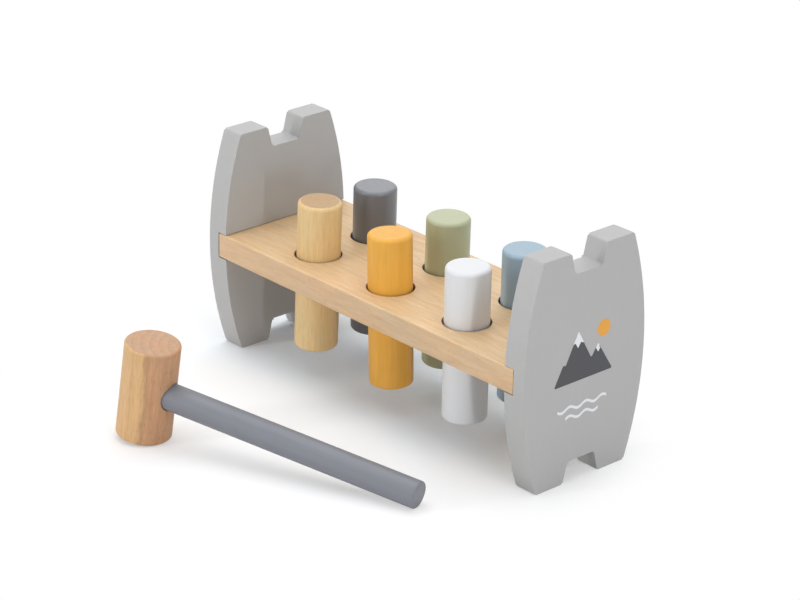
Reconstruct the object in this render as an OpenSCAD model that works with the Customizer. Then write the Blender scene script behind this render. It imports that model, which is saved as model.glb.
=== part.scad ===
// Peg pounding bench: a beech board with six pegs between two end panels, and its mallet.
// The bench is the same either way up. X runs along the bench, the mallet lies in front (-Y),
// and the origin is on the floor under the middle of the bench and mallet together.

/* [Bench] */
// Length over the two end panels
bench_l = 240; // [215:1:280]
// Height of the end panels
bench_h = 123; // [112:1:150]
// Width of the board, and of the end panels at half height
bench_w = 83; // [78:1:100]

/* [End panels] */
// Thickness of an end panel
panel_t = 13.5; // [12:0.5:18]
// Width of an end panel at its top and at its bottom
panel_tip_w = 61.5; // [50:0.5:72]
// Width of the notch between two feet, or two ears, at its mouth
notch_mouth = 24.5; // [20:0.5:30]
// Width of the notch at its floor
notch_floor = 18.5; // [12:0.5:19.5]
// Depth of the notch
notch_d = 11.5; // [8:0.5:16]
// Chamfer around the faces of an end panel
panel_ease = 0.8; // [0.4:0.1:1.5]

/* [Board] */
// Thickness of the board
board_t = 13.6; // [11:0.1:16]
// Depth that each end of the board is let into its panel
housing_d = 6; // [4:0.5:7.5]
// Chamfer along the board's long edges
board_ease = 0.8; // [0.4:0.1:1.5]
// Glue gap between the board and its housing
glue_gap = 0.05; // [0.02:0.01:0.1]

/* [Peg holes] */
// Distance between neighbouring holes along the bench
hole_pitch = 56.7; // [45:0.1:62]
// Distance between the two rows of holes
row_gap = 39; // [36:0.5:42]
// Air between a peg and its hole, on each side
hole_play = 0.6; // [0.5:0.1:1.4]
// Chamfer of a hole's rims
hole_ease = 0.4; // [0.2:0.1:0.8]

/* [Pegs] */
// Diameter of a peg
peg_d = 23.2; // [20:0.1:25]
// Length of a peg
peg_l = 82.5; // [70:0.5:92]
// Chamfer of a peg's ends
peg_ease = 1.5; // [0.5:0.1:3]
// How far the natural wood peg's middle lies below the board's middle
natural_sink = 4.1; // [0:0.1:8]
// The same for the yellow peg
yellow_sink = 4.9; // [0:0.1:8]
// The same for the white peg
white_sink = 4.3; // [0:0.1:8]
// The same for the charcoal peg
charcoal_sink = 5.5; // [0:0.1:8]
// The same for the green peg
green_sink = 5.5; // [0:0.1:8]
// The same for the blue peg
blue_sink = 5.6; // [0:0.1:8]
// Lean of the natural wood peg along the bench, in degrees
natural_lean = 2; // [-3:0.5:3]
// Lean of the yellow peg
yellow_lean = -2; // [-3:0.5:3]
// Lean of the white peg
white_lean = 0; // [-3:0.5:3]
// Lean of the charcoal peg
charcoal_lean = 1; // [-3:0.5:3]
// Lean of the green peg
green_lean = 1; // [-3:0.5:3]
// Lean of the blue peg
blue_lean = 0.5; // [-3:0.5:3]

/* [Grip rings] */
// Thickness of a rubber ring's cord
ring_cord = 2.6; // [2:0.1:3]
// Running clearance between a peg and its ring
ring_play = 0.05; // [0.02:0.01:0.1]
// Clearance between a ring and its groove
ring_seat = 0.1; // [0.05:0.01:0.2]

/* [Dowels] */
// Diameter of a dowel
dowel_d = 6; // [5:0.5:8]
// Depth of a dowel in the board
dowel_in_board = 18; // [12:0.5:20]
// Depth of a dowel in an end panel, past the housing
dowel_in_panel = 4.5; // [3:0.1:5]
// Distance between the two dowels of one end
dowel_gap = 50; // [35:1:60]
// Glue gap around a dowel
dowel_play = 0.05; // [0.02:0.01:0.1]

/* [Mallet] */
// Diameter of the mallet's head
head_d = 28.8; // [26:0.1:36]
// Length of the mallet's head
head_l = 51.8; // [44:0.1:60]
// Chamfer of the head's two striking faces
head_ease = 1; // [0.5:0.1:2]
// Diameter of the handle
handle_d = 14.3; // [11:0.1:16]
// Distance from the head's axis to the handle's free end
handle_reach = 156.4; // [130:0.1:200]
// Depth of the handle's socket past the head's axis
socket_past = 6; // [3:0.5:8]
// Chamfer of the handle's two ends
handle_ease = 0.7; // [0.3:0.1:1.5]
// Glue gap around the handle in its socket
socket_play = 0.05; // [0.02:0.01:0.1]
// How much wider the socket's mouth is than the handle, on each side
mouth_play = 0.4; // [0.2:0.1:0.6]
// Depth of that wider mouth, measured from the head's side
mouth_d = 3; // [2.2:0.1:4]
// Distance from the bench's middle to the head, along the bench
mallet_x = -52.9; // [-80:0.1:0]
// Distance from the bench's front to the head
mallet_front = 93.5; // [80:0.1:140]
// Angle between the handle and the bench
mallet_turn = 19.5; // [0:0.5:24]

/* [Hidden] */
$fn = 96;

// Room that a cutting solid runs past the face it opens
past = 1;
middle_z = bench_h / 2;

// An end panel's sides are arcs through the wide middle and the narrow tips.
side_bulge = (bench_w - panel_tip_w) / 2;
side_r = (middle_z * middle_z + side_bulge * side_bulge) / (2 * side_bulge);
panel_inner_x = bench_l / 2 - panel_t;
housing_floor_x = panel_inner_x + housing_d;
board_end_x = housing_floor_x - glue_gap;

hole_r = peg_d / 2 + hole_play;
ring_r = peg_d / 2 + ring_play + ring_cord / 2;
groove_r = ring_r + ring_cord / 2 + ring_seat;
most_lean = max([for (i = [0:5]) abs(lean(i))]);
groove_h = ring_cord + 2 * (ring_r * sin(most_lean) + ring_seat);

// The mallet leans on its handle: its tilt, and the height of its head's middle.
tilt_run = handle_reach - handle_ease - head_d / 2 + head_ease;
mallet_tilt = atan((head_l - handle_d) / 2 / tilt_run);
head_z = (head_d / 2 - head_ease) * sin(mallet_tilt) + head_l / 2 * cos(mallet_tilt);
mallet_y = -bench_w / 2 - mallet_front;
// How far the tilted head reaches forward of its middle
head_slant = sin(mallet_turn) * sin(mallet_tilt);
head_reach = head_d / 2 * sqrt(1 - head_slant * head_slant) + head_l / 2 * head_slant;
// Shift that puts the origin under the middle of bench and mallet
set_y = (head_reach - mallet_y - bench_w / 2) / 2;

// Pegs 0 to 2 are the front row and 3 to 5 the back row, each from left to right.
function lean(i) = [natural_lean, yellow_lean, white_lean, charcoal_lean, green_lean, blue_lean][i];
function sink(i) = [natural_sink, yellow_sink, white_sink, charcoal_sink, green_sink, blue_sink][i];
function hole_x(i) = (i % 3 - 1) * hole_pitch;
function hole_y(i) = (i < 3 ? -1 : 1) * row_gap / 2;

// Puts bench or mallet in the set's frame.
module in_set() {
    translate([0, set_y, 0]) children();
}

// Puts a child at the middle of a peg hole, upright.
module at_hole(i) {
    in_set() translate([hole_x(i), hole_y(i), middle_z]) children();
}

// A bar along Z whose two end faces have chamfered rims.
module eased_rod(d, l, ease) {
    rotate_extrude()
        polygon([[0, 0], [d / 2 - ease, 0], [d / 2, ease], [d / 2, l - ease], [d / 2 - ease, l], [0, l]]);
}

// A rectangle about the origin with chamfered corners.
module eased_rect(a, b, ease) {
    x = a / 2;
    y = b / 2;
    polygon([[-x + ease, -y], [x - ease, -y], [x, -y + ease], [x, y - ease],
        [x - ease, y], [-x + ease, y], [-x, y - ease], [-x, -y + ease]]);
}

// A wide disc of the panel's thickness, chamfered, whose rim is one side of the panel.
module side_disc() {
    translate([-panel_t / 2, bench_w / 2 - side_r, 0])
        rotate([0, 90, 0]) eased_rod(2 * side_r, panel_t, panel_ease);
}

// The panel without its notches and joints, centred on the origin.
module panel_blank() {
    intersection() {
        side_disc();
        mirror([0, 1, 0]) side_disc();
        rotate([90, 0, 0]) linear_extrude(bench_w + 2 * past, center = true)
            eased_rect(panel_t, bench_h, panel_ease);
    }
}

// The space of a notch, which opens upward at the height of the panel's top.
module notch() {
    slope = (notch_mouth - notch_floor) / 2 / notch_d;
    low = notch_floor / 2;
    high = notch_mouth / 2 + slope * past;
    rotate([90, 0, 90]) linear_extrude(panel_t + 2 * past, center = true)
        polygon([[-low, -notch_d], [low, -notch_d], [high, past], [-high, past]]);
}

// The right end panel, with a notch above and below, the board's housing and two dowel holes.
module end_panel() {
    difference() {
        translate([bench_l / 2 - panel_t / 2, 0, middle_z]) {
            difference() {
                panel_blank();
                translate([0, 0, middle_z]) notch();
                mirror([0, 0, 1]) translate([0, 0, middle_z]) notch();
            }
        }
        translate([panel_inner_x - past, -bench_w / 2 - past, middle_z - board_t / 2 - glue_gap])
            cube([housing_d + past, bench_w + 2 * past, board_t + 2 * glue_gap]);
        for (side = [-1, 1])
            translate([housing_floor_x - past, side * dowel_gap / 2, middle_z]) rotate([0, 90, 0])
                cylinder(d = dowel_d + 2 * dowel_play, h = dowel_in_panel + dowel_play + past);
    }
}

module right_end_panel() {
    color("#b4b4b4") in_set() end_panel();
}

module left_end_panel() {
    color("#b4b4b4") in_set() mirror([1, 0, 0]) end_panel();
}

// The space of one peg hole, with its eased rims and the groove for its ring.
module hole_space() {
    rim_z = board_t / 2;
    cylinder(r = hole_r, h = board_t + 2 * past, center = true);
    cylinder(r = groove_r, h = groove_h, center = true);
    for (flip = [0, 1])
        mirror([0, 0, flip]) translate([0, 0, rim_z - hole_ease])
            cylinder(r1 = hole_r, r2 = hole_r + hole_ease + past, h = hole_ease + past);
}

module bench_board() {
    color("#e0b98c") difference() {
        in_set() translate([0, 0, middle_z]) rotate([90, 0, 90])
            linear_extrude(2 * board_end_x, center = true) eased_rect(bench_w, board_t, board_ease);
        for (i = [0:5])
            at_hole(i) hole_space();
        for (end = [-1, 1])
            for (side = [-1, 1])
                in_set() translate([end * (board_end_x - dowel_in_board / 2), side * dowel_gap / 2, middle_z])
                    rotate([0, 90, 0])
                        cylinder(d = dowel_d + 2 * dowel_play, h = dowel_in_board + 2 * dowel_play, center = true);
    }
}

// A dowel across the joint of board and panel: end is -1 on the left, side is -1 in front.
module dowel(end, side) {
    start = board_end_x - dowel_in_board;
    color("#d9b27c") in_set() translate([0, side * dowel_gap / 2, middle_z]) rotate([0, 90 * end, 0])
        translate([0, 0, start]) eased_rod(dowel_d, housing_floor_x + dowel_in_panel - start, handle_ease);
}

// Peg i at its height in the photographed set, leaning in its grip ring.
module peg(i, tint) {
    color(tint) at_hole(i) rotate([0, lean(i), 0])
        translate([0, 0, -sink(i) - peg_l / 2]) eased_rod(peg_d, peg_l, peg_ease);
}

// The rubber ring in hole i, square to its peg.
module grip_ring(i) {
    color("#3a3a3c") at_hole(i) rotate([0, lean(i), 0])
        rotate_extrude() translate([ring_r, 0]) circle(d = ring_cord);
}

// Puts a child of the mallet, drawn with its head along Z and its handle along X, as it lies.
module as_lying() {
    in_set() translate([mallet_x, mallet_y, head_z])
        rotate([0, 0, mallet_turn]) rotate([0, mallet_tilt, 0]) children();
}

module mallet_head() {
    color("#cb976d") as_lying() difference() {
        translate([0, 0, -head_l / 2]) eased_rod(head_d, head_l, head_ease);
        translate([-socket_past - socket_play, 0, 0]) rotate([0, 90, 0])
            cylinder(d = handle_d + 2 * socket_play, h = head_d);
        translate([head_d / 2 - mouth_d, 0, 0]) rotate([0, 90, 0])
            cylinder(d = handle_d + 2 * mouth_play, h = head_d);
    }
}

module mallet_handle() {
    color("#7a7e86") as_lying() translate([-socket_past, 0, 0]) rotate([0, 90, 0])
        eased_rod(handle_d, handle_reach + socket_past, handle_ease);
}

left_end_panel();
right_end_panel();
bench_board();
dowel(-1, -1);  // left_front_dowel
dowel(-1, 1);  // left_back_dowel
dowel(1, -1);  // right_front_dowel
dowel(1, 1);  // right_back_dowel
peg(0, "#debb85");  // natural_peg
peg(1, "#eba93f");  // yellow_peg
peg(2, "#ececee");  // white_peg
peg(3, "#6c6c70");  // charcoal_peg
peg(4, "#b4bf98");  // green_peg
peg(5, "#8fb0cb");  // blue_peg
grip_ring(0);  // natural_peg_ring
grip_ring(1);  // yellow_peg_ring
grip_ring(2);  // white_peg_ring
grip_ring(3);  // charcoal_peg_ring
grip_ring(4);  // green_peg_ring
grip_ring(5);  // blue_peg_ring
mallet_head();
mallet_handle();
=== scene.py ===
from math import atan2, cos, pi, radians, sin, tan

import bmesh
import bpy
from mathutils import Matrix, Vector


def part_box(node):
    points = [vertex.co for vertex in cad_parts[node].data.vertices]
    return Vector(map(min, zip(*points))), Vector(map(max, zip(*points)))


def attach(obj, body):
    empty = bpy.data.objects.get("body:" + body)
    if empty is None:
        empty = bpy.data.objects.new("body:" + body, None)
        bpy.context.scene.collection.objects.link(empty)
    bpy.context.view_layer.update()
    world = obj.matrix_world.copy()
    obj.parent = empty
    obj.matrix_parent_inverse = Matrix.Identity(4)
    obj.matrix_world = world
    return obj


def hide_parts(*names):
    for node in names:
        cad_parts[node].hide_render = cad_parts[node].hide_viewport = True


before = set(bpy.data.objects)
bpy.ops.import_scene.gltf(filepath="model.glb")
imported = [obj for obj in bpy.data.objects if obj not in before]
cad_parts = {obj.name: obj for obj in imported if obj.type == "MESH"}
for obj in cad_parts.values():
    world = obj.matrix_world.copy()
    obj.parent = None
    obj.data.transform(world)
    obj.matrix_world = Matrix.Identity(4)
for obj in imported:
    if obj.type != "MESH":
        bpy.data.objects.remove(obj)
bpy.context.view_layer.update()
scene = bpy.context.scene
scene.view_settings.view_transform = "Standard"

# Camera.
# The bench is seen from its right front corner and a little above, by a long lens whose
# horizon leans by about a degree.
bench_low, bench_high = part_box("bench_board")
bench_mid = (bench_low + bench_high) / 2
image_width = 800
view_turn = radians(47.54)
view_rise = radians(23.57)
view_roll = radians(1.007)
view_distance = 1.4812
view_target = Vector((-0.0071, bench_mid.y - 0.0064, 0.0549))
focal_pixels = 2869.5

upward = Vector((0, 0, 1))
towards_camera = Vector((sin(view_turn) * cos(view_rise), -cos(view_turn) * cos(view_rise),
                         sin(view_rise)))
level_right = (-towards_camera).cross(upward).normalized()
level_up = level_right.cross(-towards_camera)
camera_right = cos(view_roll) * level_right + sin(view_roll) * level_up
camera_up = -sin(view_roll) * level_right + cos(view_roll) * level_up

lens = bpy.data.cameras.new("camera")
lens.sensor_fit = "HORIZONTAL"
lens.sensor_width = 36
lens.lens = focal_pixels * lens.sensor_width / image_width
lens.clip_start = 0.05
lens.clip_end = 50
camera = bpy.data.objects.new("camera", lens)
axes = Matrix((camera_right, camera_up, towards_camera)).transposed().to_4x4()
camera.matrix_world = Matrix.Translation(view_target + towards_camera * view_distance) @ axes
scene.collection.objects.link(camera)
scene.camera = camera


# Studio.
# A white sweep in a white room, under softboxes overhead, behind and to the right. A softbox and
# an upright strip stand on the left, and a small, low one on the right shines past the end panel.


def add(tree, kind, inputs=None, **settings):
    """Adds a node to a tree. Each input is a value, or another node's output to link."""
    made = tree.nodes.new(kind)
    for name, value in settings.items():
        setattr(made, name, value)
    for name, value in (inputs or {}).items():
        if isinstance(value, bpy.types.NodeSocket):
            tree.links.new(value, made.inputs[name])
        else:
            made.inputs[name].default_value = value
    return made


def srgb(code):
    """A linear colour with alpha from an sRGB hex code."""
    parts = [int(code[i:i + 2], 16) / 255 for i in (1, 3, 5)]
    return [c / 12.92 if c <= 0.04045 else ((c + 0.055) / 1.055) ** 2.4 for c in parts] + [1]


def softbox(name, place, aim, width, height, watts):
    """A rectangular area lamp at a place, turned towards a point."""
    lamp = bpy.data.lights.new(name, "AREA")
    lamp.shape = "RECTANGLE"
    lamp.size, lamp.size_y = width, height
    lamp.energy = watts
    holder = bpy.data.objects.new(name, lamp)
    holder.location = place
    holder.rotation_euler = (Vector(aim) - Vector(place)).to_track_quat("-Z", "Y").to_euler()
    scene.collection.objects.link(holder)


def heading(degrees):
    """A level direction, by its angle from the bench's length."""
    angle = radians(degrees)
    return Vector((cos(angle), sin(angle), 0))


# Each lamp has its place, the point that it faces, its width and height, and its watts.
centre = bench_mid + Vector((0, -0.03, 0))
above_board = bench_mid + upward * 0.05
backward = Vector((-towards_camera.x, -towards_camera.y, 0)).normalized()
right_side, right_front, left_front = heading(-8.4), heading(-20.5), heading(-111)
softbox("overhead_softbox", centre + backward * 0.25 + upward * 1.3, centre, 1.2, 1.2, 9.85)
softbox("overhead_left", centre - level_right * 0.6 + upward * 1.3, centre, 0.6, 0.6, 1.58)
softbox("right_high", centre + level_right * 1.2 - backward * 0.4 + upward * 1.0, centre, 0.7, 0.7, 1.52)
softbox("right_over", centre + right_side * 1.3 + upward * 0.95, centre, 0.5, 0.5, 3.5)
softbox("right_low", bench_mid + right_front * 1.2 + upward * 0.1, above_board, 0.035, 0.26, 1.87)
softbox("left_softbox", centre - level_right * 1.3 - backward * 0.3 + upward * 0.6, centre, 0.8, 0.8, 0.43)
softbox("left_strip", centre + left_front * 1.5 + upward * 0.4, centre, 0.18, 0.9, 7.2)
softbox("back_softbox", centre + backward * 1.5 + upward * 0.7, centre, 1.6, 0.8, 3.05)

world = bpy.data.worlds.new("white_room")
world.use_nodes = True
scene.world = world
tree = world.node_tree
tree.nodes.clear()
room_light = 0.415
path = add(tree, "ShaderNodeLightPath")
seen = add(tree, "ShaderNodeMath", {0: path.outputs["Is Camera Ray"], 1: path.outputs["Is Glossy Ray"]},
           operation="MAXIMUM")
level = add(tree, "ShaderNodeMapRange", {"Value": seen.outputs[0], "To Min": room_light, "To Max": 1.0})
room = add(tree, "ShaderNodeBackground", {"Color": (1, 1, 1, 1), "Strength": level.outputs[0]})
add(tree, "ShaderNodeOutputWorld", {"Surface": room.outputs[0]})

floor_half = 6.0
floor_mesh = bpy.data.meshes.new("floor")
floor_mesh.from_pydata([(-floor_half, -floor_half, 0), (floor_half, -floor_half, 0),
                        (floor_half, floor_half, 0), (-floor_half, floor_half, 0)], [], [(0, 1, 2, 3)])
floor = bpy.data.objects.new("floor", floor_mesh)
scene.collection.objects.link(floor)


def blank_finish(name):
    """An empty material and its node tree."""
    made = bpy.data.materials.new(name)
    made.use_nodes = True
    made.node_tree.nodes.clear()
    return made, made.node_tree


# The floor is matt white. It fades into the white of the room away from the object, and partly
# towards the camera and in front of the bench. The shade under the bench is cooled and lightened.
floor_paint, tree = blank_finish("white_sweep")
fade_start, fade_end = 0.125, 0.185
front_start, front_end, front_white = 0.0, 0.12, 0.65
lane_start, lane_end, lane_white = 0.026, -0.012, 0.36
under_start, under_end = 0.05, 0.12
fade_middle = (-0.03, 0.035, 0)
open_tone, shade_tone, bounce_tone, shade_glow = "#fcfdff", "#f5fbff", "#efefef", "#2f3e4d"
coords = add(tree, "ShaderNodeTexCoord")
away = add(tree, "ShaderNodeVectorMath", {0: coords.outputs["Object"], 1: fade_middle},
           operation="DISTANCE")
faded = add(tree, "ShaderNodeMapRange", {"Value": away.outputs["Value"], "From Min": fade_start,
                                         "From Max": fade_end}, interpolation_type="SMOOTHSTEP")
path = add(tree, "ShaderNodeLightPath")
nearer = add(tree, "ShaderNodeVectorMath", {
    0: coords.outputs["Object"], 1: (towards_camera.x, towards_camera.y, 0)}, operation="DOT_PRODUCT")
front_share = add(tree, "ShaderNodeMapRange", {"Value": nearer.outputs["Value"], "From Min": front_start,
                                               "From Max": front_end, "To Max": front_white},
                  interpolation_type="SMOOTHSTEP")
spot = add(tree, "ShaderNodeSeparateXYZ", {"Vector": coords.outputs["Object"]})
lane = add(tree, "ShaderNodeMapRange", {"Value": spot.outputs["Y"], "From Min": lane_start,
                                        "From Max": lane_end}, interpolation_type="SMOOTHSTEP")
lane_share = add(tree, "ShaderNodeMath", {0: lane.outputs[0], 1: lane_white}, operation="MULTIPLY")
larger = add(tree, "ShaderNodeMath", {0: faded.outputs[0], 1: front_share.outputs[0]}, operation="MAXIMUM")
largest = add(tree, "ShaderNodeMath", {0: larger.outputs[0], 1: lane_share.outputs[0]}, operation="MAXIMUM")
share = add(tree, "ShaderNodeMath", {0: largest.outputs[0], 1: path.outputs["Is Camera Ray"]},
            operation="MULTIPLY")
under = add(tree, "ShaderNodeMapRange", {"Value": away.outputs["Value"], "From Min": under_start,
                                         "From Max": under_end}, interpolation_type="SMOOTHSTEP")
outside = add(tree, "ShaderNodeMath", {0: under.outputs[0], 1: lane.outputs[0]}, operation="MAXIMUM")
seen_tone = add(tree, "ShaderNodeMixRGB", {"Fac": outside.outputs[0], "Color1": srgb(shade_tone),
                                           "Color2": srgb(open_tone)})
tone = add(tree, "ShaderNodeMixRGB", {"Fac": path.outputs["Is Camera Ray"],
                                      "Color1": srgb(bounce_tone), "Color2": seen_tone.outputs[0]})
matt = add(tree, "ShaderNodeBsdfDiffuse", {"Color": tone.outputs[0]})
white = add(tree, "ShaderNodeEmission", {"Color": (1, 1, 1, 1), "Strength": 1.0})
mixed = add(tree, "ShaderNodeMixShader", {0: share.outputs[0], 1: matt.outputs[0], 2: white.outputs[0]})
glow_share = add(tree, "ShaderNodeMath", {0: path.outputs["Is Camera Ray"], 1: outside.outputs[0]},
                 operation="SUBTRACT", use_clamp=True)
glow = add(tree, "ShaderNodeEmission", {"Color": srgb(shade_glow), "Strength": glow_share.outputs[0]})
lifted = add(tree, "ShaderNodeAddShader", {0: mixed.outputs[0], 1: glow.outputs[0]})
add(tree, "ShaderNodeOutputMaterial", {"Surface": lifted.outputs[0]})
floor_mesh.materials.append(floor_paint)


# End panels.
# Two boards of grey painted wood that serve as feet and ears, with a notch above and below.
# Their edges are rounded over, and the bench board is glued into a housing across each.
left_low, left_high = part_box("left_end_panel")
right_low, right_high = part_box("right_end_panel")
panel_height = right_high.z - right_low.z
panel_width = right_high.y - right_low.y
tip_width = 0.0615
notch_mouth, notch_floor, notch_depth = 0.0245, 0.0185, 0.0115
tip_round, mouth_round, floor_round = 0.0012, 0.0011, 0.001
rim_round = 0.0008
housing_depth = 0.006
past_face = 0.002       # how far a cutter runs out of the piece


def rounded(corners):
    """A closed outline from corners (x, y, radius), with an arc at each corner that has a radius."""
    points = []
    for i, (x, y, radius) in enumerate(corners):
        here = Vector((x, y))
        if not radius:
            points.append(here)
            continue
        before = (Vector(corners[i - 1][:2]) - here).normalized()
        after = (Vector(corners[(i + 1) % len(corners)][:2]) - here).normalized()
        half = before.angle(after) / 2
        hub = here + (before + after).normalized() * radius / sin(half)
        first = here + before * radius / tan(half) - hub
        last = here + after * radius / tan(half) - hub
        turn = first.angle_signed(last)
        steps = 5
        for k in range(steps + 1):
            points.append(hub + Matrix.Rotation(-turn * k / steps, 2) @ first)
    return points


def solid(name, shape):
    """Turns a shape's faces outwards, and makes it an object."""
    bmesh.ops.recalc_face_normals(shape, faces=shape.faces)
    mesh = bpy.data.meshes.new(name)
    shape.to_mesh(mesh)
    shape.free()
    made = bpy.data.objects.new(name, mesh)
    scene.collection.objects.link(made)
    return made


def prism(name, outline, axis_start, axis_end, round_over=0.0):
    """A solid along X with an outline in Y and Z, its two rims rounded over."""
    bevel_steps = 4
    shape = bmesh.new()
    ends = [[shape.verts.new((x, p.x, p.y)) for p in outline] for x in (axis_start, axis_end)]
    rims = [shape.faces.new(list(reversed(ends[0]))), shape.faces.new(ends[1])]
    count = len(outline)
    for i in range(count):
        j = (i + 1) % count
        shape.faces.new((ends[0][i], ends[0][j], ends[1][j], ends[1][i]))
    if round_over:
        edges = list({e for f in rims for e in f.edges})
        bmesh.ops.bevel(shape, geom=edges, offset=round_over, segments=bevel_steps, profile=0.5,
                        affect="EDGES", clamp_overlap=False)
    return solid(name, shape)


def settle(piece):
    """Applies a piece's modifiers, so that it is a plain mesh."""
    bpy.context.view_layer.update()
    done = bpy.data.meshes.new_from_object(piece.evaluated_get(bpy.context.evaluated_depsgraph_get()))
    done.name = piece.name
    piece.modifiers.clear()
    piece.data = done
    return piece


def cut(piece, cutter):
    """Takes the cutter out of the piece, and deletes the cutter."""
    saw = piece.modifiers.new("cut", "BOOLEAN")
    saw.operation = "DIFFERENCE"
    saw.solver = "EXACT"
    saw.object = cutter
    settle(piece)
    bpy.data.objects.remove(cutter)


def smooth(piece):
    """Shades rounded edges smoothly, while broad faces stay flat."""
    sharp_angle = radians(32)
    piece.data.shade_smooth()
    piece.data.set_sharp_from_angle(angle=sharp_angle)
    weigh = piece.modifiers.new("weigh", "WEIGHTED_NORMAL")
    weigh.keep_sharp = True
    weigh.weight = 100
    return settle(piece)


def block(name, low, high):
    """A plain box, used as a cutter."""
    outline = [Vector((low[1], low[2])), Vector((high[1], low[2])),
               Vector((high[1], high[2])), Vector((low[1], high[2]))]
    return prism(name, outline, low[0], high[0])


def panel_outline():
    """The panel seen from its end, about the bench's middle in Y."""
    bulge = (panel_width - tip_width) / 2
    half_height = panel_height / 2
    radius = (half_height ** 2 + bulge ** 2) / (2 * bulge)
    hub = panel_width / 2 - radius
    steps = 36
    reach = atan2(half_height, tip_width / 2 - hub)
    side = []
    for k in range(1, steps):
        angle = -reach + 2 * reach * k / steps
        side.append((hub + radius * cos(angle), half_height + radius * sin(angle), 0))
    mouth, inner, top = notch_mouth / 2, notch_floor / 2, panel_height
    half = [(mouth, 0, mouth_round), (tip_width / 2, 0, tip_round), *side,
            (tip_width / 2, top, tip_round), (mouth, top, mouth_round),
            (inner, top - notch_depth, floor_round)]
    mirrored = [(-y, z, r) for y, z, r in reversed(half)]
    corners = half + mirrored + [(-inner, notch_depth, floor_round), (inner, notch_depth, floor_round)]
    return [Vector((p.x + bench_mid.y, p.y)) for p in rounded(corners)]


def painted_wood(name, colour, grain, rough=0.5, telegraph=0.02, mottle=0.025, ior=1.5):
    """Water-based paint rolled on sanded wood. It is satin, a little uneven in tone, and the
    fibre of the wood below shows through as soft streaks and very fine lines along the grain.
    Real fibre is finer than 0.1 mm, and is drawn wider so that it shows."""
    made, tree = blank_finish(name)
    fibre_length, fibre_width, cloud_size, peel_size = 0.012, 0.0006, 0.03, 0.0011
    streak_length, streak_width = 0.06, 0.0024
    coords = add(tree, "ShaderNodeTexCoord")
    turned = add(tree, "ShaderNodeMapping", {"Vector": coords.outputs["Object"], "Rotation": grain})
    fibre_space = add(tree, "ShaderNodeMapping", {
        "Vector": turned.outputs[0], "Scale": (1 / fibre_length, 1 / fibre_width, 1 / fibre_width)})
    fibre = add(tree, "ShaderNodeTexNoise", {"Vector": fibre_space.outputs[0], "Scale": 1.0, "Detail": 3.0})
    cloud = add(tree, "ShaderNodeTexNoise", {"Vector": turned.outputs[0], "Scale": 1 / cloud_size,
                                             "Detail": 3.0, "Roughness": 0.6})
    peel = add(tree, "ShaderNodeTexNoise", {"Vector": coords.outputs["Object"], "Scale": 1 / peel_size,
                                            "Detail": 2.0})
    streak_space = add(tree, "ShaderNodeMapping", {
        "Vector": turned.outputs[0], "Scale": (1 / streak_length, 1 / streak_width, 1 / streak_width)})
    streak = add(tree, "ShaderNodeTexNoise", {"Vector": streak_space.outputs[0], "Scale": 1.0,
                                              "Detail": 1.0})
    base = srgb(colour)
    darker = [c * (1 - mottle) for c in base[:3]] + [1]
    lighter = [min(1, c * (1 + mottle)) for c in base[:3]] + [1]
    tone = add(tree, "ShaderNodeMath", {0: cloud.outputs["Fac"], 1: fibre.outputs["Fac"]}, operation="ADD")
    toned = add(tree, "ShaderNodeMath", {0: tone.outputs[0], 1: streak.outputs["Fac"]}, operation="ADD")
    tone_range = add(tree, "ShaderNodeMapRange", {"Value": toned.outputs[0], "From Min": 1.1,
                                                  "From Max": 1.9})
    ramp = add(tree, "ShaderNodeValToRGB", {"Fac": tone_range.outputs[0]})
    ramp.color_ramp.elements[0].color = darker
    ramp.color_ramp.elements[1].color = lighter
    rough_range = add(tree, "ShaderNodeMapRange", {
        "Value": peel.outputs["Fac"], "From Min": 0.3, "From Max": 0.7,
        "To Min": rough - 0.05, "To Max": rough + 0.05})
    height = add(tree, "ShaderNodeMath", {0: fibre.outputs["Fac"], 1: peel.outputs["Fac"]}, operation="ADD")
    bump = add(tree, "ShaderNodeBump", {"Height": height.outputs[0], "Strength": telegraph,
                                        "Distance": 0.0004})
    shader = add(tree, "ShaderNodeBsdfPrincipled", {
        "Base Color": ramp.outputs[0], "Roughness": rough_range.outputs[0], "IOR": ior,
        "Normal": bump.outputs[0]})
    add(tree, "ShaderNodeOutputMaterial", {"Surface": shader.outputs[0]})
    return made


along_z = (0, radians(90), 0)
grey_paint = painted_wood("grey_satin_paint", "#aeaeae", along_z, rough=0.55, mottle=0.01)
floor_seam, left_seam, right_seam = 0.0002, 0.0004, 0.0002
for name, low, high, inner, housing_side, seam in (
        ("left", left_low, left_high, left_high.x, -1, left_seam),
        ("right", right_low, right_high, right_low.x, 1, right_seam)):
    panel = prism(f"{name}_panel", panel_outline(), low.x, high.x, rim_round)
    floor_x = inner + housing_side * (housing_depth + floor_seam)
    mouth_x = inner - housing_side * past_face
    cut(panel, block("housing", (min(floor_x, mouth_x), low.y - past_face, bench_low.z - seam),
                     (max(floor_x, mouth_x), high.y + past_face, bench_high.z + seam)))
    smooth(panel)
    panel.data.materials.append(grey_paint)
    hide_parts(f"{name}_end_panel")
    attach(panel, "bench")


# Print.
# A landscape in three printing inks on the outside of the right end panel: mountains with snow on
# two of their peaks, the sun beside them, and two waves below. Places are in mm from its middle.
print_middle = Vector((bench_mid.y - 0.0008, 0.0651))
ink_layer = 0.00004
peak_round, snow_round = 0.7, 0.3
wave_pitch, wave_swing, wave_thickness = 11.3, 1.0, 1.5


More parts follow.
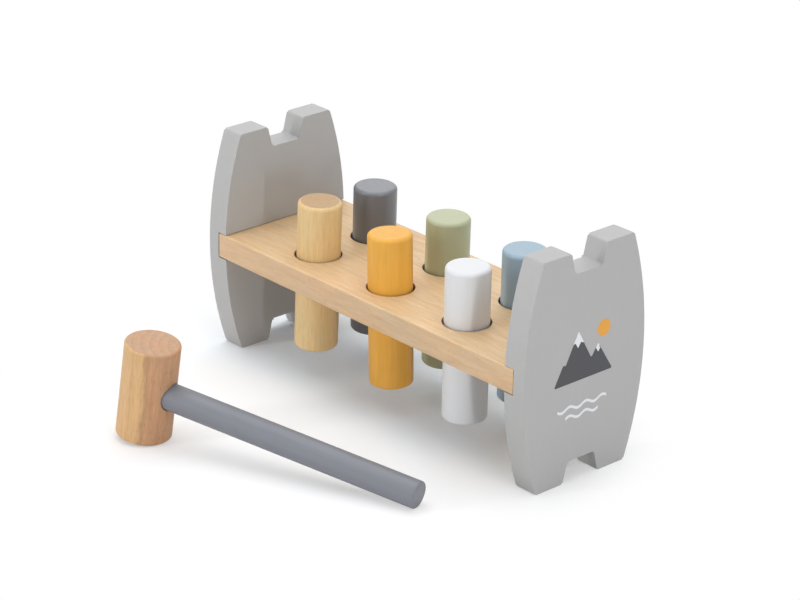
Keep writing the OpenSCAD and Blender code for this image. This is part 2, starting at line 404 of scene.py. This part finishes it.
def ink(name, colour):
    """Matt screen printing ink, a little uneven where the screen's mesh laid it down. The mesh is
    finer than 0.1 mm, and is drawn coarser so that it shows."""
    made, tree = blank_finish(name)
    mesh_size = 0.0005
    coords = add(tree, "ShaderNodeTexCoord")
    weave = add(tree, "ShaderNodeTexNoise", {"Vector": coords.outputs["Object"], "Scale": 1 / mesh_size,
                                             "Detail": 3.0})
    base = srgb(colour)
    thin = [min(1, c * 1.05) for c in base[:3]] + [1]
    full = [c * 0.95 for c in base[:3]] + [1]
    shade = add(tree, "ShaderNodeMixRGB", {"Fac": weave.outputs["Fac"], "Color1": thin, "Color2": full})
    bump = add(tree, "ShaderNodeBump", {"Height": weave.outputs["Fac"], "Strength": 0.05,
                                        "Distance": 0.0001})
    shader = add(tree, "ShaderNodeBsdfPrincipled", {"Base Color": shade.outputs[0], "Roughness": 0.6,
                                                    "Normal": bump.outputs[0]})
    add(tree, "ShaderNodeOutputMaterial", {"Surface": shader.outputs[0]})
    return made


def printed(name, outline, layers, finish):
    """A patch of ink on the panel, with as many layers of ink under its face."""
    spots = [print_middle + p / 1000 for p in outline]
    patch = prism(name, spots, right_high.x - ink_layer, right_high.x + layers * ink_layer)
    patch.data.materials.append(finish)
    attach(patch, "bench")


def wave(height, length):
    """A wavy stripe, from its left end to its right."""
    steps = 60
    line = []
    for k in range(steps + 1):
        along = length * (k / steps - 0.5)
        line.append(Vector((along, height + wave_swing * sin(2 * pi * along / wave_pitch))))
    half = Vector((0, wave_thickness / 2))
    return [p - half for p in line] + [p + half for p in reversed(line)]


charcoal_ink = ink("charcoal_ink", "#49494e")
white_ink = ink("white_ink", "#e1e3e7")
orange_ink = ink("orange_ink", "#e3a03c")
mountains = [(-20.2, -11), (20.2, -11), (9.5, 5.5), (5.04, -1.19), (-4.5, 15.5), (-12.82, -1.15),
             (-14, 0.5)]
left_snow = [(-4.5, 15.5), (-8.4, 7.7), (-6.5, 9.8), (-4.6, 6.6), (-2.6, 9.6), (-0.3, 8.15)]
right_snow = [(9.5, 5.5), (6.7, 1.3), (8.3, 2.8), (9.7, 0.6), (11.0, 2.6), (12.0, 1.6)]
sun_place, sun_radius, sun_sides = Vector((13.2, 12.6)), 4.4, 64
for name, corners, corner_round, layers, finish in (
        ("print_mountains", mountains, peak_round, 1, charcoal_ink),
        ("print_left_snow", left_snow, snow_round, 2, white_ink),
        ("print_right_snow", right_snow, snow_round, 2, white_ink)):
    outline = rounded([(x, y, corner_round) for x, y in corners])
    printed(name, outline, layers, finish)
sun = []
for k in range(sun_sides):
    angle = 2 * pi * k / sun_sides
    sun.append(sun_place + sun_radius * Vector((cos(angle), sin(angle))))
printed("print_sun", sun, 1, orange_ink)
printed("print_upper_wave", wave(-24.6, 34), 1, white_ink)
printed("print_lower_wave", wave(-29.6, 22.6), 1, white_ink)


# Bench board.
# One board of clear beech with its grain along the bench, its long edges rounded over.
# Six holes go through it, each with slightly eased rims and a groove inside for a rubber ring.
board_edge_round = 0.0009
left_end_gap = 0.0005
hole_pitch, hole_row_gap = 0.0567, 0.039
peg_radius, hole_radius = 0.0116, 0.0122
hole_rim_ease = 0.0005
groove_radius, groove_half = 0.01435, 0.00185
hair = 0.0001           # what a face may lie off the surface that it belongs to


def lathe(name, profile, place):
    """A closed solid turned about Z from points (radius, height), the first and last on the axis."""
    sides = 96
    shape = bmesh.new()
    rings = []
    for radius, height in profile:
        if radius == 0:
            rings.append([shape.verts.new((place.x, place.y, place.z + height))])
            continue
        ring = []
        for k in range(sides):
            angle = 2 * pi * k / sides
            ring.append(shape.verts.new((place.x + radius * cos(angle), place.y + radius * sin(angle),
                                         place.z + height)))
        rings.append(ring)
    for lower, upper in zip(rings, rings[1:]):
        for k in range(sides):
            n = (k + 1) % sides
            if len(lower) == 1:
                shape.faces.new((lower[0], upper[n], upper[k]))
            elif len(upper) == 1:
                shape.faces.new((lower[k], lower[n], upper[0]))
            else:
                shape.faces.new((lower[k], lower[n], upper[n], upper[k]))
    return solid(name, shape)


def clear_wood(name, colour, end_colour, fleck_colour, grain=(0, 0, 0), pith=(0, -0.03, 0.07),
               ring_gap=0.0042, ring_tone=0.1, band_tone=0.4, fibre_tone=0.3, fleck_tone=0.3,
               heart_colour=None, heart_reach=0.03, heart_line=0.0, sap_flecks=1.0, y_face_painted_shade=0.0,
               figure=1.0, ior=1.5):
    """Sanded wood under a matt clear coat, with its grain along X before the grain's turn. Growth
    rings about the pith give soft bands along the grain and arcs on the ends, the fibre gives fine
    lines, and the rays give the short dark flecks that mark beech. Wood nearer to the pith than the
    heart's reach has the heart's colour, past a dark line, and the sapwood outside it has its own
    share of the flecks. Sawn ends are darker than the sides, and a painted shade darkens and cools
    faces that look along Y, as strongly as asked. A smaller figure makes the marks shorter along
    the grain, and the tone drifts slowly between a warmer and a cooler hue. Fibre is drawn wider
    than its 0.1 mm, so that it shows."""
    made, tree = blank_finish(name)
    fibre_length, fibre_width, band_length, band_width = 0.016 * figure, 0.00045, 0.042 * figure, 0.0026
    fleck_length, fleck_width, sway_length, sway_width = 0.0042, 0.0006, 0.022, 0.009
    sway_shift, band_shift = 0.012, 0.004       # how far the heart's edge wanders with each pattern
    line_near, line_far = 0.002, 0.006          # where its dark line starts and ends
    ring_stretch, wave_period = 0.12, 0.314     # the wave texture repeats after 0.314 of its units
    pale_factors, deep_factors = (1.2, 1.27, 1.36), (0.8, 0.73, 0.64)
    end_pale_factor, end_deep_factor = 1.26, 0.74
    warm_drift, cool_drift = (1.07, 0.97, 0.9, 1), (0.93, 1.03, 1.1, 1)
    # The cool, dark tint of the painted shade on faces that look along Y.
    y_face_shade_tint = (0.88, 0.875, 0.915, 1)
    coords = add(tree, "ShaderNodeTexCoord")
    turned = add(tree, "ShaderNodeMapping", {"Vector": coords.outputs["Object"], "Rotation": grain})
    spaces = []
    for length, width in (
            (fibre_length, fibre_width), (band_length, band_width), (fleck_length, fleck_width)):
        spaces.append(add(tree, "ShaderNodeMapping", {
            "Vector": turned.outputs[0], "Scale": (1 / length, 1 / width, 1 / width)}))
    fibre = add(tree, "ShaderNodeTexNoise", {"Vector": spaces[0].outputs[0], "Scale": 1.0, "Detail": 4.0,
                                             "Roughness": 0.6})
    band = add(tree, "ShaderNodeTexNoise", {"Vector": spaces[1].outputs[0], "Scale": 1.0, "Detail": 3.0,
                                            "Distortion": 0.6})
    cells = add(tree, "ShaderNodeTexVoronoi", {"Vector": spaces[2].outputs[0], "Scale": 1.0})
    hearted = add(tree, "ShaderNodeMapping", {"Vector": turned.outputs[0], "Location": [-p for p in pith],
                                              "Scale": (ring_stretch, 1, 1)})
    rings = add(tree, "ShaderNodeTexWave", {"Vector": hearted.outputs[0], "Scale": wave_period / ring_gap,
                                            "Distortion": 2.2, "Detail": 2.0, "Detail Scale": 0.35},
                wave_type="RINGS", rings_direction="X", wave_profile="SAW")
    tone = 0.5 - (ring_tone + band_tone + fibre_tone) / 2
    for pattern, amount in ((rings, ring_tone), (band, band_tone), (fibre, fibre_tone)):
        tone = add(tree, "ShaderNodeMath", {0: pattern.outputs["Fac"], 1: amount, 2: tone},
                   operation="MULTIPLY_ADD").outputs[0]
    flat = add(tree, "ShaderNodeVectorMath", {0: hearted.outputs[0], 1: (0, 1, 1)}, operation="MULTIPLY")
    from_pith = add(tree, "ShaderNodeVectorMath", {0: flat.outputs[0]}, operation="LENGTH")
    sway_space = add(tree, "ShaderNodeMapping", {
        "Vector": turned.outputs[0], "Scale": (1 / sway_length, 1 / sway_width, 1 / sway_width)})
    sway = add(tree, "ShaderNodeTexNoise", {"Vector": sway_space.outputs[0], "Scale": 1.0, "Detail": 2.0})
    slow = add(tree, "ShaderNodeMath", {
        0: sway.outputs["Fac"], 1: sway_shift, 2: from_pith.outputs["Value"]}, operation="MULTIPLY_ADD")
    wander = add(tree, "ShaderNodeMath", {0: band.outputs["Fac"], 1: band_shift, 2: slow.outputs[0]},
                 operation="MULTIPLY_ADD")
    outer = add(tree, "ShaderNodeMapRange", {"Value": wander.outputs[0],
                                             "From Min": heart_reach + line_near,
                                             "From Max": heart_reach + line_far})
    tones = []
    for factors in (pale_factors, deep_factors):
        heart = [c * k for c, k in zip(srgb(heart_colour or colour), factors)]
        sap = [c * k for c, k in zip(srgb(colour), factors)]
        line = [(a + b) / 2 * (1 - heart_line) for a, b in zip(heart, sap)]
        hues = add(tree, "ShaderNodeValToRGB", {"Fac": outer.outputs[0]})
        hues.color_ramp.elements.new(0.5)
        for stop, hue in zip(hues.color_ramp.elements, (heart, line, sap)):
            stop.color = hue + [1]
        tones.append(hues.outputs[0])
    sides = add(tree, "ShaderNodeMixRGB", {"Fac": tone, "Color1": tones[0], "Color2": tones[1]})
    near = add(tree, "ShaderNodeMapRange", {"Value": cells.outputs["Distance"], "From Min": 0.12,
                                            "From Max": 0.34, "To Min": 1.0, "To Max": 0.0})
    picked = add(tree, "ShaderNodeSeparateColor", {"Color": cells.outputs["Color"]})
    chosen = add(tree, "ShaderNodeMapRange", {"Value": picked.outputs[0], "From Min": 0.5, "From Max": 1.0,
                                              "To Max": fleck_tone})
    kept = add(tree, "ShaderNodeMapRange", {"Value": outer.outputs[0], "To Min": 1.0, "To Max": sap_flecks})
    spotted = add(tree, "ShaderNodeMath", {0: near.outputs[0], 1: kept.outputs[0]}, operation="MULTIPLY")
    fleck = add(tree, "ShaderNodeMath", {0: spotted.outputs[0], 1: chosen.outputs[0]}, operation="MULTIPLY")
    flecked = add(tree, "ShaderNodeMixRGB", {"Fac": fleck.outputs[0], "Color1": sides.outputs[0],
                                             "Color2": srgb(fleck_colour)})
    facing = add(tree, "ShaderNodeMapping", {"Vector": coords.outputs["Normal"], "Rotation": grain},
                 vector_type="VECTOR")
    along = add(tree, "ShaderNodeSeparateXYZ", {"Vector": facing.outputs[0]})
    endwise = add(tree, "ShaderNodeMath", {0: along.outputs[0]}, operation="ABSOLUTE")
    end_share = add(tree, "ShaderNodeMapRange", {"Value": endwise.outputs[0], "From Min": 0.93,
                                                 "From Max": 0.99})
    end_base = srgb(end_colour)
    end_pale = [c * end_pale_factor for c in end_base[:3]] + [1]
    end_deep = [c * end_deep_factor for c in end_base[:3]] + [1]
    ends = add(tree, "ShaderNodeMixRGB", {"Fac": tone, "Color1": end_pale, "Color2": end_deep})
    coloured = add(tree, "ShaderNodeMixRGB", {"Fac": end_share.outputs[0], "Color1": flecked.outputs[0],
                                              "Color2": ends.outputs[0]})
    drift = add(tree, "ShaderNodeMixRGB", {"Fac": sway.outputs["Fac"], "Color1": warm_drift,
                                           "Color2": cool_drift})
    drifted = add(tree, "ShaderNodeMixRGB", {"Fac": 1.0, "Color1": coloured.outputs[0],
                                             "Color2": drift.outputs[0]}, blend_type="MULTIPLY")
    # Painted shade: faces that look along Y are made darker and cooler, as strongly as asked.
    y_facing = add(tree, "ShaderNodeMath", {0: along.outputs[1]}, operation="ABSOLUTE")
    y_face_shade_share = add(tree, "ShaderNodeMapRange", {"Value": y_facing.outputs[0], "From Min": 0.6,
                                                  "From Max": 0.98, "To Max": y_face_painted_shade})
    shaded = add(tree, "ShaderNodeMixRGB", {"Fac": y_face_shade_share.outputs[0], "Color1": drifted.outputs[0],
                                            "Color2": y_face_shade_tint}, blend_type="MULTIPLY")
    rough = add(tree, "ShaderNodeMapRange", {"Value": fibre.outputs["Fac"], "From Min": 0.3,
                                             "From Max": 0.7, "To Min": 0.46, "To Max": 0.58})
    height = add(tree, "ShaderNodeMath", {0: fibre.outputs["Fac"], 1: fleck.outputs[0]},
                 operation="SUBTRACT")
    bump = add(tree, "ShaderNodeBump", {"Height": height.outputs[0], "Strength": 0.08,
                                        "Distance": 0.0003})
    shader = add(tree, "ShaderNodeBsdfPrincipled", {
        "Base Color": shaded.outputs[0], "Roughness": rough.outputs[0], "IOR": ior,
        "Normal": bump.outputs[0]})
    add(tree, "ShaderNodeOutputMaterial", {"Surface": shader.outputs[0]})
    return made


corner_y, corner_z = (bench_high.y - bench_low.y) / 2, (bench_high.z - bench_low.z) / 2
board_profile = rounded([(sy * corner_y, sz * corner_z, board_edge_round)
                         for sy, sz in ((-1, -1), (1, -1), (1, 1), (-1, 1))])
board = prism("board", [p + Vector((bench_mid.y, bench_mid.z)) for p in board_profile],
              bench_low.x + left_end_gap, bench_high.x)
hole_half = corner_z + past_face
flare = hole_radius + hole_rim_ease + hole_half - corner_z
hole_profile = [(0, -hole_half), (flare, -hole_half), (hole_radius, hole_rim_ease - corner_z),
                (hole_radius, -groove_half), (groove_radius, -groove_half), (groove_radius, groove_half),
                (hole_radius, groove_half), (hole_radius, corner_z - hole_rim_ease), (flare, hole_half),
                (0, hole_half)]
for column in (-1, 0, 1):
    for row in (-0.5, 0.5):
        middle = bench_mid + Vector((column * hole_pitch, row * hole_row_gap, 0))
        cut(board, lathe("hole", hole_profile, middle))
smooth(board)
# The board's front and back faces take the full painted shade.
board.data.materials.append(clear_wood(
    "clear_beech", "#dab98e", "#b9956c", "#aa815c", band_tone=0.75, fibre_tone=0.9, fleck_tone=0.5,
    y_face_painted_shade=1.0, figure=0.6, ior=1.6))
# Bored walls are bare end grain, painted dark to stand for the shade that they lie in.
bore_wall_painted_shade = clear_wood("bore_wall_painted_shade", "#6b4a30", "#6b4a30", "#4a3220")
board.data.materials.append(bore_wall_painted_shade)
# The walls and grooves of the holes take the painted shade of the bored walls.
for face in board.data.polygons:
    from_middle = face.center - bench_mid
    column = round(from_middle.x / hole_pitch)
    hub = Vector((column * hole_pitch, (0.5 if from_middle.y > 0 else -0.5) * hole_row_gap, from_middle.z))
    upright = abs(face.normal.z) < 0.5 or abs(from_middle.z) < corner_z - hair
    if abs(column) <= 1 and upright and (from_middle - hub).length < groove_radius + hair:
        face.material_index = 1
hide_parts("bench_board")
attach(board, "bench")


# Dowels.
# Four plain beech dowels glued into the ends of the board and the panels, out of sight.
# They are turned rod, bare, and a little warmer in colour than the board.
dowel_beech = clear_wood("turned_dowel_beech", "#cca677", "#b08a5c", "#9c6d42")
for end in ("left", "right"):
    for side in ("front", "back"):
        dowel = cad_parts[f"{end}_{side}_dowel"]
        dowel.data.materials.clear()
        dowel.data.materials.append(dowel_beech)


# Grip rings.
# A moulded black rubber ring sits in the groove of each hole and squeezes the peg. Only its inner
# edge shows, deep in the gap around the peg. Its matt skin's grit is drawn as coarse as it shows.
rubber, tree = blank_finish("black_rubber")
rubber_grit = 0.0004
coords = add(tree, "ShaderNodeTexCoord")
grit = add(tree, "ShaderNodeTexNoise", {"Vector": coords.outputs["Object"],
                                        "Scale": 1 / rubber_grit, "Detail": 2.0})
grey = add(tree, "ShaderNodeValToRGB", {"Fac": grit.outputs["Fac"]})
grey.color_ramp.elements[0].color = srgb("#1f1f20")
grey.color_ramp.elements[1].color = srgb("#303032")
bump = add(tree, "ShaderNodeBump", {"Height": grit.outputs["Fac"], "Strength": 0.2, "Distance": 0.0001})
shader = add(tree, "ShaderNodeBsdfPrincipled", {"Base Color": grey.outputs[0], "Roughness": 0.6,
                                                "Normal": bump.outputs[0]})
add(tree, "ShaderNodeOutputMaterial", {"Surface": shader.outputs[0]})
peg_names = ("natural", "yellow", "white", "charcoal", "green", "blue")
for name in peg_names:
    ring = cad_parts[f"{name}_peg_ring"]
    ring.data.materials.clear()
    ring.data.materials.append(rubber)


# Pegs.
# Six turned round pegs, one in clear wood and five painted all over, with rounded ends.
# Each stands in its rubber ring and leans a little, as the ring lets it.
peg_length = 0.0825
peg_end_round = 0.002
peg_sink = {"natural": 0.0041, "yellow": 0.0049, "white": 0.0043,
            "charcoal": 0.0055, "green": 0.0055, "blue": 0.0056}
peg_lean = {"natural": 2, "yellow": -2, "white": 0, "charcoal": 1, "green": 1, "blue": 0.5}


def turned_rod_tree():
    """A node tree for a round rod along Z with rounded ends, turned and then placed."""
    rod = bpy.data.node_groups.new("turned_rod", "GeometryNodeTree")
    for name, kind in (("Diameter", "Float"), ("Length", "Float"), ("End Rounding", "Float"),
                       ("Turn", "Rotation"), ("Place", "Vector"), ("Finish", "Material")):
        rod.interface.new_socket(name, in_out="INPUT", socket_type=f"NodeSocket{kind}")
    rod.interface.new_socket("Geometry", in_out="OUTPUT", socket_type="NodeSocketGeometry")
    given = add(rod, "NodeGroupInput")
    end_steps, sides = 6, 128

    def math(operation, a, b=0.0):
        return add(rod, "ShaderNodeMath", {0: a, 1: b}, operation=operation).outputs[0]

    index = add(rod, "GeometryNodeInputIndex").outputs[0]
    step = math("MINIMUM", index, math("SUBTRACT", 2 * end_steps + 1, index))
    angle = math("MULTIPLY", step, pi / 2 / end_steps)
    rounding = given.outputs["End Rounding"]
    rise = math("MULTIPLY", rounding, math("SUBTRACT", 1.0, math("COSINE", angle)))
    face = math("SUBTRACT", math("MULTIPLY", given.outputs["Diameter"], 0.5), rounding)
    radius = math("ADD", face, math("MULTIPLY", rounding, math("SINE", angle)))
    upper = math("GREATER_THAN", index, end_steps + 0.5)
    from_top = math("SUBTRACT", given.outputs["Length"], rise)
    lower = math("SUBTRACT", 1.0, upper)
    height = math("ADD", math("MULTIPLY", upper, from_top), math("MULTIPLY", lower, rise))
    spine = add(rod, "GeometryNodeCurvePrimitiveLine")
    points = add(rod, "GeometryNodeResampleCurve", {"Curve": spine.outputs[0], "Count": 2 * end_steps + 2})
    spot = add(rod, "ShaderNodeCombineXYZ", {"Z": height})
    shaped = add(rod, "GeometryNodeSetPosition", {"Geometry": points.outputs[0],
                                                  "Position": spot.outputs[0]})
    sized = add(rod, "GeometryNodeSetCurveRadius", {"Curve": shaped.outputs[0], "Radius": radius})
    circle = add(rod, "GeometryNodeCurvePrimitiveCircle", {"Resolution": sides, "Radius": 1.0})
    swept = add(rod, "GeometryNodeCurveToMesh", {
        "Curve": sized.outputs[0], "Profile Curve": circle.outputs[0], "Scale": radius, "Fill Caps": True})
    placed = add(rod, "GeometryNodeTransform", {
        "Geometry": swept.outputs[0], "Rotation": given.outputs["Turn"],
        "Translation": given.outputs["Place"]})
    real = add(rod, "GeometryNodeRealizeInstances", {"Geometry": placed.outputs[0]})
    dressed = add(rod, "GeometryNodeSetMaterial", {"Geometry": real.outputs[0],
                                                   "Material": given.outputs["Finish"]})
    add(rod, "NodeGroupOutput", {"Geometry": dressed.outputs[0]})
    return rod


rod_tree = turned_rod_tree()


def turned_rod(name, diameter, length, end_round, turn, place, finish):
    """One rod made by the tree, as a plain mesh."""
    made = bpy.data.objects.new(name, bpy.data.meshes.new(name))
    scene.collection.objects.link(made)
    maker = made.modifiers.new("rod", "NODES")
    maker.node_group = rod_tree
    values = {"Diameter": diameter, "Length": length, "End Rounding": end_round,
              "Turn": turn, "Place": place, "Finish": finish}
    for item in rod_tree.interface.items_tree:
        if item.in_out == "INPUT":
            maker[item.identifier] = values[item.name]
    settle(made)
    return smooth(made)


peg_finish = {
    "natural": clear_wood("clear_pale_wood", "#dbbd88", "#b6956d", "#b28450", along_z,
                          pith=(0, 0.02, -0.03), ring_gap=0.0032, ring_tone=0.12, band_tone=0.45,
                          fibre_tone=0.8, fleck_tone=0.2, figure=0.5),
    "yellow": painted_wood("yellow_satin_paint", "#e3a843", along_z, rough=0.45, mottle=0.08, ior=1.42),
    "white": painted_wood("white_satin_paint", "#d9dbde", along_z, rough=0.4, mottle=0.015),
    "charcoal": painted_wood("charcoal_satin_paint", "#6c6f76", along_z, rough=0.34, telegraph=0.005,
                             ior=1.6),
    "green": painted_wood("green_satin_paint", "#afb493", along_z, rough=0.4),
    "blue": painted_wood("blue_satin_paint", "#92a9b9", along_z, rough=0.4),
}
for i, name in enumerate(peg_names):
    hole = bench_mid + Vector(((i % 3 - 1) * hole_pitch, (-0.5 if i < 3 else 0.5) * hole_row_gap, 0))
    lean = radians(peg_lean[name])
    foot = -peg_sink[name] - peg_length / 2
    place = hole + Vector((sin(lean), 0, cos(lean))) * foot
    peg = turned_rod(f"peg_{name}", 2 * peg_radius, peg_length, peg_end_round, (0, lean, 0), place,
                     peg_finish[name])
    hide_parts(f"{name}_peg")
    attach(peg, f"{name}_peg")


# Mallet.
# A turned head of steamed, reddish beech in clear coat, on a slate grey painted rod that is
# glued into a blind socket in the head's side. It lies on the head's rim and the rod's end.
head_diameter, head_length, head_round = 0.0288, 0.0518, 0.0012
handle_diameter, handle_reach, handle_round = 0.0143, 0.1564, 0.0013
head_ease, handle_ease = 0.001, 0.0007      # the bevels of the two rims that it lies on
socket_past, glue_gap, mouth_play, mouth_depth = 0.006, 0.00005, 0.0004, 0.003
mallet_turn = radians(19.5)
tilt_run = handle_reach - handle_ease - head_diameter / 2 + head_ease
mallet_tilt = atan2((head_length - handle_diameter) / 2, tilt_run)
head_height = (head_diameter / 2 - head_ease) * sin(mallet_tilt) + head_length / 2 * cos(mallet_tilt)
head_low, head_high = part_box("mallet_head")
head_mid = (head_low + head_high) / 2
head_mid.z = head_height
lying = Matrix.Rotation(mallet_turn, 3, "Z") @ Matrix.Rotation(mallet_tilt, 3, "Y")
head_axis, handle_axis = lying @ Vector((0, 0, 1)), lying @ Vector((1, 0, 0))
along_handle = lying @ Matrix.Rotation(radians(90), 3, "Y")


def grain_turn(turn):
    """The mapping that lays a pattern's X along the Z axis of a turned piece."""
    return (Matrix.Rotation(radians(90), 3, "Y") @ turn.transposed()).to_euler()


mallet_grain = grain_turn(lying)
pith_distance = 0.03
head_pith = mallet_grain.to_matrix() @ (head_mid + level_right * pith_distance)
mallet_beech = clear_wood("steamed_beech", "#cea675", "#bc9473", "#8c5635", mallet_grain,
                          pith=(0, head_pith.y, head_pith.z), ring_gap=0.0045, ring_tone=0.2,
                          band_tone=0.6, fibre_tone=1.1, fleck_tone=0.9, heart_colour="#bf926d",
                          heart_reach=0.0375, heart_line=0.22, sap_flecks=0.3, figure=0.45)
slate_paint = painted_wood("slate_satin_paint", "#7a7d85", grain_turn(along_handle), rough=0.42,
                           mottle=0.06, ior=1.43)
head = turned_rod("mallet_head_piece", head_diameter, head_length, head_round, lying.to_euler(),
                  head_mid - head_axis * head_length / 2, mallet_beech)
socket_radius = handle_diameter / 2 + glue_gap
mouth_radius = handle_diameter / 2 + mouth_play
mouth_start = head_diameter / 2 - mouth_depth
socket = lathe("socket", [(0, -socket_past), (socket_radius, -socket_past), (socket_radius, mouth_start),
                          (mouth_radius, mouth_start), (mouth_radius, head_diameter), (0, head_diameter)],
               Vector((0, 0, 0)))
socket.data.transform(Matrix.Translation(head_mid) @ along_handle.to_4x4())
cut(head, socket)
smooth(head)
# The socket's walls take the same painted shade as the bored walls of the holes.
head.data.materials.append(bore_wall_painted_shade)
for face in head.data.polygons:
    reach = face.center - head_mid
    from_handle = (reach - handle_axis * reach.dot(handle_axis)).length
    from_axis = (reach - head_axis * reach.dot(head_axis)).length
    past_floor = reach.dot(handle_axis) > -socket_past - hair
    if from_handle < mouth_radius and past_floor and from_axis < head_diameter / 2 - 2 * hair:
        face.material_index = 1
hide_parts("mallet_head")
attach(head, "mallet")
handle = turned_rod("mallet_handle_piece", handle_diameter, handle_reach + socket_past, handle_round,
                    along_handle.to_euler(), head_mid - handle_axis * socket_past, slate_paint)
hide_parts("mallet_handle")
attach(handle, "mallet")
